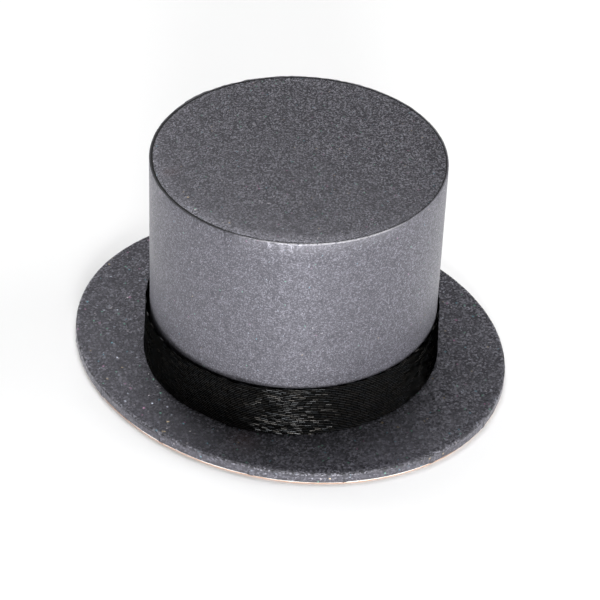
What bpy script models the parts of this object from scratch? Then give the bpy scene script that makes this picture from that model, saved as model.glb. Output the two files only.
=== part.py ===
"""A miniature top hat built as a lidded favour box.

Board, covered with pearl paper. The oval brim is the base: it carries a short neck that
stands inside the crown. The crown is the lid: it drops over the neck, rests on the brim
and lifts straight up. A satin ribbon runs round the crown's foot.

Frame: metres, +Z up, the origin under the middle of the brim, on the surface that the
hat stands on. The brim is longest from front (-Y) to back (+Y).
"""
import math

import bmesh
import bpy

# Driving dimensions, in metres
BRIM_LENGTH = 0.0948        # front to back
BRIM_WIDTH = 0.0833         # side to side
BRIM_THICKNESS = 0.00285    # lining, board and paper together
CROWN_RADIUS = 0.030        # outside of the paper
CROWN_HEIGHT = 0.0470       # above the brim's top
CROWN_X = -0.0006           # the crown stands a little off the brim's middle
CROWN_Y = -0.0012
RIBBON_WIDTH = 0.0115
NECK_HEIGHT = 0.015         # above the brim's top

# Sheet thicknesses and gaps
PAPER = 0.0002
LINING_CARD = 0.00045
TUBE_BOARD = 0.0015
NECK_BOARD = 0.0012
CROWN_TOP_BOARD = 0.0015
FLOOR_BOARD = 0.0008
RIBBON = 0.0003
GLUE_GAP = 0.0001           # between glued layers
REST_GAP = 0.0003           # between the crown's foot and the brim
NECK_CLEARANCE = 0.0005     # radial, between the crown's inside and the neck
RIBBON_REST_GAP = 0.00015   # between the ribbon's lower edge and the brim

# Turn-ins, roundings and laps
BRIM_TURN_IN = 0.007
FOOT_TURN_IN = 0.008
LINING_INSET = 0.0004
EDGE_ROUNDING = 0.0004
SHOULDER_ROUNDING = 0.0005
RIBBON_STAND_OFF_TOP = 0.00015
RIBBON_STAND_OFF_FOOT = 0.0007
RIBBON_LAP_ANGLE = math.radians(22)
RIBBON_LAP_START = math.radians(70)
RIBBON_LAP_RAMP = math.radians(16)

SEGMENTS = 72
ARC_STEPS = 4

# Levels up the hat
LINING_TOP = LINING_CARD
TURN_IN_BOTTOM = LINING_TOP + GLUE_GAP
BOARD_BOTTOM = TURN_IN_BOTTOM + PAPER + GLUE_GAP
BRIM_TOP = BRIM_THICKNESS
BOARD_TOP = BRIM_TOP - PAPER - GLUE_GAP
FLOOR_BOTTOM = BRIM_TOP + GLUE_GAP
NECK_TOP = BRIM_TOP + NECK_HEIGHT
CROWN_FOOT = BRIM_TOP + REST_GAP
CROWN_TOP = BRIM_TOP + CROWN_HEIGHT
TUBE_TOP = CROWN_TOP - PAPER - GLUE_GAP
CEILING = TUBE_TOP - CROWN_TOP_BOARD - GLUE_GAP

# Radii from the outside of the crown inwards
TUBE_OUTER = CROWN_RADIUS - PAPER - GLUE_GAP
TUBE_INNER = TUBE_OUTER - TUBE_BOARD
CROWN_LINING_OUTER = TUBE_INNER - GLUE_GAP
CROWN_LINING_INNER = CROWN_LINING_OUTER - PAPER
NECK_PAPER_OUTER = CROWN_LINING_INNER - NECK_CLEARANCE
NECK_OUTER = NECK_PAPER_OUTER - PAPER - GLUE_GAP
NECK_INNER = NECK_OUTER - NECK_BOARD
NECK_PAPER_INNER = NECK_INNER - GLUE_GAP - PAPER

# Colours, linear RGB, with roughness and metallic value
PEARL_GREY = ((0.125, 0.125, 0.140), 0.42, 0.55)
GREYBOARD = ((0.30, 0.27, 0.23), 0.90, 0.0)
TAN_CARD = ((0.56, 0.40, 0.31), 0.85, 0.0)
IVORY_PAPER = ((0.78, 0.74, 0.66), 0.70, 0.0)
BLACK_SATIN = ((0.006, 0.006, 0.006), 0.30, 0.0)


def clear_scene():
    for existing in list(bpy.data.objects):
        bpy.data.objects.remove(existing, do_unlink=True)


def make_material(name, finish):
    colour, roughness, metallic = finish
    material = bpy.data.materials.new(name)
    material.use_nodes = True
    shader = material.node_tree.nodes["Principled BSDF"]
    shader.inputs["Base Color"].default_value = (*colour, 1.0)
    shader.inputs["Roughness"].default_value = roughness
    shader.inputs["Metallic"].default_value = metallic
    return material


def make_empty(name, location):
    empty = bpy.data.objects.new(name, None)
    empty.location = location
    bpy.context.collection.objects.link(empty)
    return empty


def add_object(name, bm, finish, parent):
    """Turn a bmesh into a smooth-shaded object with sharp corners, under its parent."""
    bmesh.ops.recalc_face_normals(bm, faces=bm.faces)
    mesh = bpy.data.meshes.new(name)
    bm.to_mesh(mesh)
    bm.free()
    mesh.shade_smooth()
    mesh.set_sharp_from_angle(angle=math.radians(40))
    mesh.materials.append(make_material(name + "_finish", finish))
    part = bpy.data.objects.new(name, mesh)
    part.parent = parent
    bpy.context.collection.objects.link(part)
    return part


def arc(centre_r, centre_z, radius, start_degrees, end_degrees):
    """Points of a rounding in the (radius, height) plane."""
    points = []
    for step in range(ARC_STEPS + 1):
        share = step / ARC_STEPS
        angle = math.radians(start_degrees + share * (end_degrees - start_degrees))
        points.append((centre_r + radius * math.cos(angle), centre_z + radius * math.sin(angle)))
    return points


def turn(profile):
    """Spin a profile of (radius, height) points about Z. One that starts and ends on the axis is a disc."""
    bm = bmesh.new()
    verts = [bm.verts.new((r, 0.0, z)) for r, z in profile]
    edges = [bm.edges.new(pair) for pair in zip(verts, verts[1:])]
    on_axis = profile[0][0] == 0.0
    if not on_axis:
        edges.append(bm.edges.new((verts[-1], verts[0])))
    bmesh.ops.spin(
        bm,
        geom=verts + edges,
        cent=(0.0, 0.0, 0.0),
        axis=(0.0, 0.0, 1.0),
        angle=math.tau,
        steps=SEGMENTS,
        use_merge=True,
    )
    bmesh.ops.remove_doubles(bm, verts=bm.verts, dist=1e-7)
    return bm


def pull_to_oval(bm):
    """Narrow a piece turned at half the brim's length to the brim's width."""
    bmesh.ops.scale(bm, vec=(BRIM_WIDTH / BRIM_LENGTH, 1.0, 1.0), verts=bm.verts)


def disc_profile(radius, bottom, top):
    return [(0.0, top), (radius, top), (radius, bottom), (0.0, bottom)]


def tube_profile(inner, outer, bottom, top):
    return [(inner, top), (outer, top), (outer, bottom), (inner, bottom)]


def make_brim_underside_lining(base):
    bm = turn(disc_profile(BRIM_LENGTH / 2 - LINING_INSET, 0.0, LINING_TOP))
    pull_to_oval(bm)
    return add_object("brim_underside_lining", bm, TAN_CARD, base)


def make_brim_board(base):
    """The board's edge is eased, so that the paper turns round it without a sharp crease."""
    edge = BRIM_LENGTH / 2 - PAPER - GLUE_GAP
    rounding = EDGE_ROUNDING - PAPER
    profile = [(0.0, BOARD_TOP)]
    profile += arc(edge - rounding, BOARD_TOP - rounding, rounding, 90, 0)
    profile += arc(edge - rounding, BOARD_BOTTOM + rounding, rounding, 0, -90)
    profile += [(0.0, BOARD_BOTTOM)]
    bm = turn(profile)
    pull_to_oval(bm)
    return add_object("brim_board", bm, GREYBOARD, base)


def make_brim_cover_paper(base):
    """One sheet: over the top, round the edge and turned in underneath."""
    edge = BRIM_LENGTH / 2
    centre = edge - EDGE_ROUNDING
    inner_rounding = EDGE_ROUNDING - PAPER
    turn_in = edge - BRIM_TURN_IN
    profile = [(0.0, BRIM_TOP)]
    profile += arc(centre, BRIM_TOP - EDGE_ROUNDING, EDGE_ROUNDING, 90, 0)
    profile += arc(centre, TURN_IN_BOTTOM + EDGE_ROUNDING, EDGE_ROUNDING, 0, -90)
    profile += [(turn_in, TURN_IN_BOTTOM), (turn_in, TURN_IN_BOTTOM + PAPER)]
    profile += arc(centre, TURN_IN_BOTTOM + EDGE_ROUNDING, inner_rounding, -90, 0)
    profile += arc(centre, BRIM_TOP - EDGE_ROUNDING, inner_rounding, 0, 90)
    profile += [(0.0, BRIM_TOP - PAPER)]
    bm = turn(profile)
    pull_to_oval(bm)
    return add_object("brim_cover_paper", bm, PEARL_GREY, base)


def make_compartment_floor(neck):
    radius = NECK_PAPER_INNER - GLUE_GAP
    bm = turn(disc_profile(radius, FLOOR_BOTTOM, FLOOR_BOTTOM + FLOOR_BOARD))
    return add_object("compartment_floor", bm, IVORY_PAPER, neck)


def make_neck_collar(neck):
    top = NECK_TOP - PAPER - GLUE_GAP
    bm = turn(tube_profile(NECK_INNER, NECK_OUTER, FLOOR_BOTTOM, top))
    return add_object("neck_collar", bm, GREYBOARD, neck)


def make_neck_paper(neck):
    """One strip: up the outside of the collar, over its mouth and down the inside."""
    under = NECK_TOP - PAPER
    profile = [
        (NECK_PAPER_OUTER, NECK_TOP),
        (NECK_PAPER_OUTER, FLOOR_BOTTOM),
        (NECK_PAPER_OUTER - PAPER, FLOOR_BOTTOM),
        (NECK_PAPER_OUTER - PAPER, under),
        (NECK_PAPER_INNER + PAPER, under),
        (NECK_PAPER_INNER + PAPER, FLOOR_BOTTOM),
        (NECK_PAPER_INNER, FLOOR_BOTTOM),
        (NECK_PAPER_INNER, NECK_TOP),
    ]
    return add_object("neck_paper", turn(profile), IVORY_PAPER, neck)


def make_crown_tube(crown):
    """The outer corner under the shoulder is cut back, so that the paper can round it."""
    bottom = CROWN_FOOT + PAPER + GLUE_GAP
    ease = SHOULDER_ROUNDING / 2
    profile = [
        (TUBE_INNER, TUBE_TOP),
        (TUBE_OUTER - ease, TUBE_TOP),
        (TUBE_OUTER, TUBE_TOP - ease),
        (TUBE_OUTER, bottom),
        (TUBE_INNER, bottom),
    ]
    return add_object("crown_tube", turn(profile), GREYBOARD, crown)


def make_crown_top_board(crown):
    bm = turn(disc_profile(TUBE_INNER - GLUE_GAP, TUBE_TOP - CROWN_TOP_BOARD, TUBE_TOP))
    return add_object("crown_top_board", bm, GREYBOARD, crown)


def make_crown_side_paper(crown):
    """One strip: turned over the shoulder, down the wall, round the foot and up inside."""
    centre = CROWN_RADIUS - SHOULDER_ROUNDING
    shoulder_z = CROWN_TOP - SHOULDER_ROUNDING
    inside = CROWN_LINING_INNER
    profile = arc(centre, shoulder_z, SHOULDER_ROUNDING, 90, 0)
    profile += [
        (CROWN_RADIUS, CROWN_FOOT),
        (inside, CROWN_FOOT),
        (inside, CROWN_FOOT + FOOT_TURN_IN),
        (inside + PAPER, CROWN_FOOT + FOOT_TURN_IN),
        (inside + PAPER, CROWN_FOOT + PAPER),
        (CROWN_RADIUS - PAPER, CROWN_FOOT + PAPER),
    ]
    profile += arc(centre, shoulder_z, SHOULDER_ROUNDING - PAPER, 0, 90)
    return add_object("crown_side_paper", turn(profile), PEARL_GREY, crown)


def make_crown_top_paper(crown):
    radius = CROWN_RADIUS - SHOULDER_ROUNDING - GLUE_GAP
    bm = turn(disc_profile(radius, CROWN_TOP - PAPER, CROWN_TOP))
    return add_object("crown_top_paper", bm, PEARL_GREY, crown)


def make_crown_side_lining(crown):
    bottom = CROWN_FOOT + FOOT_TURN_IN + GLUE_GAP
    bm = turn(tube_profile(CROWN_LINING_INNER, CROWN_LINING_OUTER, bottom, CEILING))
    return add_object("crown_side_lining", bm, IVORY_PAPER, crown)


def make_crown_top_lining(crown):
    radius = CROWN_LINING_INNER - GLUE_GAP
    bm = turn(disc_profile(radius, CEILING - PAPER, CEILING))
    return add_object("crown_top_lining", bm, IVORY_PAPER, crown)


def make_hat_band(crown):
    """A ribbon that goes once round the crown's foot, its end lapped over its beginning."""
    bottom = BRIM_TOP + RIBBON_REST_GAP
    top = bottom + RIBBON_WIDTH
    top_inner = CROWN_RADIUS + RIBBON_STAND_OFF_TOP
    foot_inner = CROWN_RADIUS + RIBBON_STAND_OFF_FOOT
    section = [
        (top_inner, top),
        (top_inner + RIBBON, top),
        (foot_inner + RIBBON, bottom),
        (foot_inner, bottom),
    ]
    lap_lift = RIBBON + GLUE_GAP
    full_angle = math.tau + RIBBON_LAP_ANGLE
    steps = SEGMENTS + round(SEGMENTS * RIBBON_LAP_ANGLE / math.tau)
    bm = bmesh.new()
    rings = []
    for step in range(steps + 1):
        travelled = full_angle * step / steps
        ramp = (travelled - math.tau + RIBBON_LAP_RAMP) / RIBBON_LAP_RAMP
        lift = lap_lift * min(max(ramp, 0.0), 1.0)
        angle = RIBBON_LAP_START + travelled
        cosine = math.cos(angle)
        sine = math.sin(angle)
        rings.append([bm.verts.new(((r + lift) * cosine, (r + lift) * sine, z)) for r, z in section])
    for ring, following in zip(rings, rings[1:]):
        for corner in range(len(section)):
            beside = (corner + 1) % len(section)
            bm.faces.new((ring[corner], ring[beside], following[beside], following[corner]))
    bm.faces.new(rings[0])
    bm.faces.new(rings[-1])
    return add_object("hat_band", bm, BLACK_SATIN, crown)


def main():
    clear_scene()
    base = make_empty("brim_base", (0.0, 0.0, 0.0))
    neck = make_empty("neck_axis", (CROWN_X, CROWN_Y, 0.0))
    neck.parent = base
    crown = make_empty("crown_lift_axis", (CROWN_X, CROWN_Y, 0.0))

    make_brim_underside_lining(base)
    make_brim_board(base)
    make_brim_cover_paper(base)

    make_compartment_floor(neck)
    make_neck_collar(neck)
    make_neck_paper(neck)

    make_crown_tube(crown)
    make_crown_top_board(crown)
    make_crown_side_paper(crown)
    make_crown_top_paper(crown)
    make_crown_side_lining(crown)
    make_crown_top_lining(crown)
    make_hat_band(crown)


main()
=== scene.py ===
"""Looks of a miniature top hat: pearl paper over board, a satin ribbon and an ivory-lined box inside.

The brim is a card base with a short neck. The crown is a lid that drops over the neck.
"""
import math

import bpy
from mathutils import Matrix, Vector, noise


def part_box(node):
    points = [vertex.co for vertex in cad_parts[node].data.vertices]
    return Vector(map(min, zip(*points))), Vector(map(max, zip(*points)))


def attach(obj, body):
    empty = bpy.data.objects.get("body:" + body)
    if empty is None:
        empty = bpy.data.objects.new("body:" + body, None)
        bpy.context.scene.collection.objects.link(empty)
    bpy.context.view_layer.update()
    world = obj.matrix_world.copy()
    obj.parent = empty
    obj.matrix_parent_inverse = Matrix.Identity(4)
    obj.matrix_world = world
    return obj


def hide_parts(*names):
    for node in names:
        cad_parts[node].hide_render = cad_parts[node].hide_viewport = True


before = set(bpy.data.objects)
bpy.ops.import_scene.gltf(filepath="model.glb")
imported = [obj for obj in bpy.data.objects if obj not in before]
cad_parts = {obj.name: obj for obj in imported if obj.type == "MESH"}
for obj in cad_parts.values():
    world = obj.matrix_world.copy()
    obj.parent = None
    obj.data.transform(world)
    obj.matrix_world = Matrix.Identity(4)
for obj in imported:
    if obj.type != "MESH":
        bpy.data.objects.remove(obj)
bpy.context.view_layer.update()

MM = 0.001

# -------------------- places, taken from the frame

BRIM_LOW, BRIM_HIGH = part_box("brim_cover_paper")
CARD_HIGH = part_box("brim_underside_lining")[1]
WALL_LOW, WALL_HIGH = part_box("crown_side_paper")
TOP_LOW, TOP_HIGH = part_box("crown_top_paper")
NECK_LOW, NECK_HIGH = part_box("neck_paper")
FLOOR_LOW, FLOOR_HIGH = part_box("compartment_floor")
BAND_LOW, BAND_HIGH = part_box("hat_band")
LINING_LOW, LINING_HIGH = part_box("crown_side_lining")
CEILING_LOW, CEILING_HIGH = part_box("crown_top_lining")

BRIM_HALF_LENGTH = BRIM_HIGH.y
BRIM_ROUNDNESS = BRIM_HIGH.x / BRIM_HIGH.y
BRIM_TOP = BRIM_HIGH.z
BRIM_TURN_IN = BRIM_LOW.z
CROWN_CENTRE = Vector(((WALL_LOW.x + WALL_HIGH.x) / 2, (WALL_LOW.y + WALL_HIGH.y) / 2, 0.0))
CROWN_RADIUS = (WALL_HIGH.x - WALL_LOW.x) / 2
CROWN_TOP = WALL_HIGH.z
CROWN_FOOT = WALL_LOW.z
TOP_RADIUS = (TOP_HIGH.x - TOP_LOW.x) / 2
LINING_OUTER = (LINING_HIGH.x - LINING_LOW.x) / 2
LINING_INNER = LINING_OUTER - 0.2 * MM
NECK_OUTER = (NECK_HIGH.x - NECK_LOW.x) / 2
FLOOR_RADIUS = (FLOOR_HIGH.x - FLOOR_LOW.x) / 2
NECK_INNER = FLOOR_RADIUS + 0.1 * MM
CEILING_RADIUS = (CEILING_HIGH.x - CEILING_LOW.x) / 2

PAPER = 0.2 * MM
WALL_SIDES = 720
BRIM_SIDES = 840
NECK_SIDES = 360
DISC_SIDES = 240

# Flat pieces are turned from a small ring round their axis, and the holes left there are filled
HUB = 1.0 * MM
MERGE_WITHIN = 0.0005 * MM

# -------------------- where the camera stands

VIEW_AZIMUTH = -54.72
VIEW_ELEVATION = 38.38
VIEW_DISTANCE = 0.5146
VIEW_ROLL = 2.246
LENS = 145.8
SENSOR = 36.0
AIM_UP = 0.941
AIM_RIGHT = 0.190


# -------------------- shaping by hand

def deselect():
    bpy.ops.object.select_all(action="DESELECT")


def choose(piece):
    deselect()
    bpy.context.view_layer.objects.active = piece
    piece.select_set(True)


def edit(piece):
    choose(piece)
    bpy.ops.object.mode_set(mode="EDIT")
    bpy.ops.mesh.select_all(action="SELECT")


def leave_edit():
    bpy.ops.object.mode_set(mode="OBJECT")


def turned(name, profile, sides):
    """Draws a ring and pulls it along a profile of (radius, height) points, one extrusion for each."""
    deselect()
    radius, height = profile[0]
    bpy.ops.mesh.primitive_circle_add(
        vertices=sides, radius=radius, location=(0.0, 0.0, height), fill_type="NOTHING",
    )
    piece = bpy.context.object
    piece.name = name
    bpy.ops.object.transform_apply(location=True, rotation=True, scale=True)
    edit(piece)
    for next_radius, next_height in profile[1:]:
        growth = next_radius / radius
        bpy.ops.mesh.extrude_edges_move(
            TRANSFORM_OT_translate={"value": (0.0, 0.0, next_height - height)},
        )
        bpy.ops.transform.resize(value=(growth, growth, 1.0), center_override=(0.0, 0.0, 0.0))
        radius, height = next_radius, next_height
    bpy.ops.mesh.select_all(action="SELECT")
    bpy.ops.mesh.remove_doubles(threshold=MERGE_WITHIN)
    bpy.ops.mesh.select_all(action="SELECT")
    bpy.ops.mesh.fill_holes(sides=0)
    bpy.ops.mesh.select_all(action="SELECT")
    bpy.ops.mesh.normals_make_consistent(inside=False)
    leave_edit()
    return piece


def rounding(centre_radius, centre_height, radius, start, end, steps):
    """Points of a quarter turn or so, with angles in degrees from straight out."""
    points = []
    for step in range(steps + 1):
        angle = math.radians(start + (end - start) * step / steps)
        points.append((
            centre_radius + radius * math.cos(angle),
            centre_height + radius * math.sin(angle),
        ))
    return points


def straight(start, end, steps):
    """Points between two others, without the first."""
    points = []
    for step in range(1, steps + 1):
        share = step / steps
        points.append((
            start[0] + (end[0] - start[0]) * share,
            start[1] + (end[1] - start[1]) * share,
        ))
    return points


def place_on_crown(piece):
    """Moves a piece made round the upright axis onto the crown's own axis."""
    edit(piece)
    bpy.ops.transform.translate(value=CROWN_CENTRE)
    leave_edit()


def points_round(piece):
    """Each corner of a turned piece, with its place, its radius and the way out from the axis."""
    for vertex in piece.data.vertices:
        radius = math.hypot(vertex.co.x, vertex.co.y)
        yield vertex, vertex.co, radius, Vector((vertex.co.x, vertex.co.y, 0.0)) / radius


def pull_to_oval(piece):
    edit(piece)
    bpy.ops.transform.resize(value=(BRIM_ROUNDNESS, 1.0, 1.0), center_override=(0.0, 0.0, 0.0))
    leave_edit()


def angle_of(point):
    return math.degrees(math.atan2(point.y, point.x)) % 360.0


def round_crown(point):
    """A point's distance from the crown's axis, and its angle round it."""
    from_axis = Vector((point.x - CROWN_CENTRE.x, point.y - CROWN_CENTRE.y, 0.0))
    return from_axis.length, angle_of(from_axis)


def apart(angle, other):
    """How far one angle lies past another, from -180 to 180 degrees."""
    return (angle - other + 180.0) % 360.0 - 180.0


def lapped_before(angle, seam, length):
    """One where a strip's end lies over its start, sloping to nothing over the given degrees."""
    away = apart(angle, seam)
    return ease(1.0 + away / length) if away <= 0.0 else 0.0


def ease(share):
    share = min(max(share, 0.0), 1.0)
    return share * share * (3.0 - 2.0 * share)


def band(value, middle, half_width):
    """One in the middle of a band, falling to nothing at its edges."""
    return ease(1.0 - abs(value - middle) / half_width)


def ripple(point, size, seed):
    """A smooth random value from about -1 to 1 that changes over the given size."""
    return noise.noise(Vector((point.x / size, point.y / size, point.z / size + seed)))


def along_curve(stops, angle):
    """Reads a list of (angle, value) stops, with a smooth way between each two."""
    for (start, first), (end, last) in zip(stops, stops[1:]):
        if start <= angle <= end:
            return first + (last - first) * ease((angle - start) / (end - start))
    return stops[-1][1]


def smooth(piece, degrees):
    choose(piece)
    bpy.ops.object.shade_smooth_by_angle(angle=math.radians(degrees))


def finish_piece(piece, body, slot, finish, *nodes):
    piece.data.materials.clear()
    piece.data.materials.append(finish)
    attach(piece, body)
    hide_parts(*nodes)
    return piece


def wrap_pattern(piece, radius):
    """Lays a flat pattern round a piece: metres round it, and metres up it."""
    mesh = piece.data
    layer = mesh.uv_layers.active or mesh.uv_layers.new(name="wrap")
    for face in mesh.polygons:
        middle = angle_of(face.center)
        for loop in face.loop_indices:
            corner = mesh.vertices[mesh.loops[loop].vertex_index].co
            round_angle = middle + apart(angle_of(corner), middle)
            layer.data[loop].uv = (math.radians(round_angle) * radius, corner.z)


def mark(piece, name, value_at):
    """Stores a mask on the piece, one value for each point."""
    attribute = piece.data.attributes.new(name=name, type="FLOAT", domain="POINT")
    for vertex in piece.data.vertices:
        attribute.data[vertex.index].value = value_at(vertex.co)


# -------------------- node building

class Desk:
    """A node tree being laid out, with short ways to place and join nodes."""

    def __init__(self, tree):
        self.tree = tree

    def node(self, kind, settings=None, **values):
        placed = self.tree.nodes.new(kind)
        for key, value in (settings or {}).items():
            setattr(placed, key, value)
        for key, value in values.items():
            self.feed(placed.inputs[key.replace("_", " ")], value)
        return placed

    def feed(self, socket, value):
        if hasattr(value, "is_output"):
            self.tree.links.new(value, socket)
        else:
            socket.default_value = value

    def maths(self, operation, first, second=0.0, third=0.0):
        placed = self.tree.nodes.new("ShaderNodeMath")
        placed.operation = operation
        for socket, value in zip(placed.inputs, (first, second, third)):
            self.feed(socket, value)
        return placed.outputs["Value"]

    def vector(self, operation, first, second=None, scale=None):
        placed = self.tree.nodes.new("ShaderNodeVectorMath")
        placed.operation = operation
        self.feed(placed.inputs[0], first)
        if second is not None:
            self.feed(placed.inputs[1], second)
        if scale is not None:
            self.feed(placed.inputs["Scale"], scale)
        return placed.outputs["Vector"]

    def steps_of(self, place, size):
        """A place counted in steps of the given size."""
        return self.vector("SCALE", place, scale=self.maths("DIVIDE", 1.0, size))

    def leaning(self, lean):
        """The surface's own direction, tipped over by a short vector."""
        facing = self.node("ShaderNodeNewGeometry").outputs["Normal"]
        return self.vector("NORMALIZE", self.vector("ADD", facing, lean))

    def between(self, value, low, high, to_low=0.0, to_high=1.0, smooth_step=False):
        placed = self.tree.nodes.new("ShaderNodeMapRange")
        placed.interpolation_type = "SMOOTHSTEP" if smooth_step else "LINEAR"
        for name, number in (
            ("Value", value), ("From Min", low), ("From Max", high), ("To Min", to_low), ("To Max", to_high),
        ):
            self.feed(placed.inputs[name], number)
        return placed.outputs["Result"]

    def mix_colour(self, share, first, second):
        """Colours mixed by a share, through the Mix node's colour sockets."""
        placed = self.tree.nodes.new("ShaderNodeMix")
        placed.data_type = "RGBA"
        self.feed(placed.inputs[0], share)
        colours = [socket for socket in placed.inputs if socket.type == "RGBA"]
        self.feed(colours[0], first)
        self.feed(colours[1], second)
        return next(socket for socket in placed.outputs if socket.type == "RGBA")


def new_group(name, inputs, outputs):
    """Starts a node group. Inputs are (name, kind, value) and outputs (name, kind)."""
    group = bpy.data.node_groups.new(name, "ShaderNodeTree")
    for label, kind, value in inputs:
        socket = group.interface.new_socket(name=label, in_out="INPUT", socket_type=kind)
        if value is not None:
            socket.default_value = value
    for label, kind in outputs:
        group.interface.new_socket(name=label, in_out="OUTPUT", socket_type=kind)
    desk = Desk(group)
    entry = group.nodes.new("NodeGroupInput")
    exit_node = group.nodes.new("NodeGroupOutput")
    return group, desk, entry.outputs, exit_node.inputs


FLOAT = "NodeSocketFloat"
COLOUR = "NodeSocketColor"
VECTOR = "NodeSocketVector"


def build_mica_sparkle():
    """Flakes lying in the pearl coat: each tilts its own way, and a few catch the light in colour."""
    group, desk, given, out = new_group(
        "mica_sparkle",
        [("Vector", VECTOR, None), ("Flake Size", FLOAT, 0.0003), ("Tilt", FLOAT, 0.3),
         ("Contrast", FLOAT, 0.3), ("Glints", FLOAT, 0.03)],
        [("Shade", FLOAT), ("Tint", COLOUR), ("Glint", FLOAT), ("Normal", VECTOR)],
    )
    scaled = desk.steps_of(given["Vector"], given["Flake Size"])
    flakes = desk.node("ShaderNodeTexVoronoi", {"feature": "F1"}, Vector=scaled, Scale=1.0)
    chance = desk.node("ShaderNodeSeparateColor", Color=flakes.outputs["Color"])
    centred = desk.vector("SUBTRACT", flakes.outputs["Color"], (0.5, 0.5, 0.5))
    lean = desk.vector("SCALE", centred, scale=given["Tilt"])
    desk.feed(out["Normal"], desk.leaning(lean))
    few_bright = desk.maths("SUBTRACT", desk.maths("POWER", chance.outputs["Red"], 2.5), 0.286)
    desk.feed(out["Shade"], desk.maths("MULTIPLY_ADD", few_bright, given["Contrast"], 1.0))
    threshold = desk.maths("SUBTRACT", 1.0, given["Glints"])
    desk.feed(out["Glint"], desk.maths("GREATER_THAN", chance.outputs["Green"], threshold))
    ramp = desk.node("ShaderNodeValToRGB", Fac=chance.outputs["Blue"])
    ramp.color_ramp.interpolation = "CONSTANT"
    stops = ramp.color_ramp.elements
    stops[0].color = (0.75, 0.82, 0.95, 1.0)
    stops[1].position = 0.40
    stops[1].color = (0.95, 0.90, 0.95, 1.0)
    for place, colour in ((0.62, (0.35, 0.85, 0.62, 1.0)), (0.76, (0.30, 0.70, 0.85, 1.0)),
                          (0.87, (0.90, 0.42, 0.72, 1.0)), (0.94, (1.0, 0.80, 0.50, 1.0))):
        stops.new(place).color = colour
    desk.feed(out["Tint"], ramp.outputs["Color"])
    return group


def build_paper_grain():
    """Felted fibres and a slow cloudiness, for paper and card."""
    group, desk, given, out = new_group(
        "paper_grain",
        [("Vector", VECTOR, None), ("Fibre Width", FLOAT, 0.00012), ("Fibre Length", FLOAT, 0.0012),
         ("Cloud Size", FLOAT, 0.006)],
        [("Height", FLOAT), ("Fibres", FLOAT), ("Cloud", FLOAT)],
    )
    thin = desk.maths("DIVIDE", 1.0, given["Fibre Width"])
    long = desk.maths("DIVIDE", 1.0, given["Fibre Length"])
    parts = desk.node("ShaderNodeSeparateXYZ", Vector=given["Vector"])
    webs = []
    for across, along in (("X", "Y"), ("Y", "X")):
        stretched = desk.node("ShaderNodeCombineXYZ")
        desk.feed(stretched.inputs["X"], desk.maths("MULTIPLY", parts.outputs[across], thin))
        desk.feed(stretched.inputs["Y"], desk.maths("MULTIPLY", parts.outputs[along], long))
        desk.feed(stretched.inputs["Z"], desk.maths("MULTIPLY", parts.outputs["Z"], thin))
        web = desk.node("ShaderNodeTexNoise", Vector=stretched.outputs["Vector"], Scale=1.0, Detail=2.0)
        webs.append(web.outputs["Fac"])
    felt = desk.maths("MAXIMUM", webs[0], webs[1])
    desk.feed(out["Fibres"], felt)
    scaled = desk.steps_of(given["Vector"], given["Cloud Size"])
    cloud = desk.node("ShaderNodeTexNoise", Vector=scaled, Scale=1.0, Detail=3.0)
    desk.feed(out["Cloud"], cloud.outputs["Fac"])
    desk.feed(out["Height"], desk.maths("ADD", felt, desk.maths("MULTIPLY", cloud.outputs["Fac"], 0.3)))
    return group


def build_worn_and_highlit_edge():
    """Edges where the paper's core shows, and on the crown's shoulder a painted highlight as well: the
    marked edge, broken up by noise into short dashes.
    """
    group, desk, given, out = new_group(
        "worn_and_highlit_edge",
        [("Edge", FLOAT, 0.0), ("Vector", VECTOR, None), ("Patch Size", FLOAT, 0.0008),
         ("Cover", FLOAT, 0.5)],
        [("Worn And Highlit", FLOAT)],
    )
    scaled = desk.steps_of(given["Vector"], given["Patch Size"])
    patches = desk.node("ShaderNodeTexNoise", Vector=scaled, Scale=1.0, Detail=3.0)
    limit = desk.maths("SUBTRACT", 1.0, given["Cover"])
    low = desk.maths("SUBTRACT", limit, 0.06)
    high = desk.maths("ADD", limit, 0.06)
    broken = desk.between(patches.outputs["Fac"], low, high, smooth_step=True)
    desk.feed(out["Worn And Highlit"], desk.maths("MULTIPLY", given["Edge"], broken))
    return group


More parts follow.
